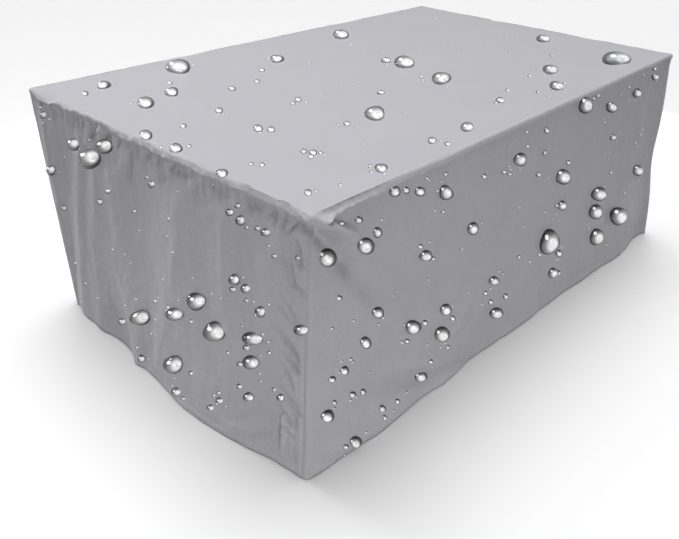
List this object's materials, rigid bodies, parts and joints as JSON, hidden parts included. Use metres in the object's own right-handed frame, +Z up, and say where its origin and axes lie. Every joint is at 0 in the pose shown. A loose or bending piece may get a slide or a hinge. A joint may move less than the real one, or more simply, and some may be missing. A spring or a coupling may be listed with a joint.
{
  "type": "patio furniture cover",
  "caption": "Hollow box-shaped fitted cover of thin coated cloth that drops over a patio furniture set, with long soft folds and a loose hem.",
  "frame": {"origin": "under the middle of the top panel, where the furniture holds the cover up", "axes": "+X along the long side, -Y out of the front side panel, +Z up"},
  "size_m": [1.9419, 1.2194, 0.7039],
  "materials": {
    "cover_cloth": "satin",
    "seam_cloth": "satin"
  },
  "bodies": {
    "root": {"top_panel": "cover_cloth", "front_panel": "cover_cloth", "right_panel": "cover_cloth", "back_panel": "cover_cloth", "left_panel": "cover_cloth", "front_seam": "seam_cloth", "right_seam": "seam_cloth", "back_seam": "seam_cloth", "left_seam": "seam_cloth"}
  },
  "joints": []
}
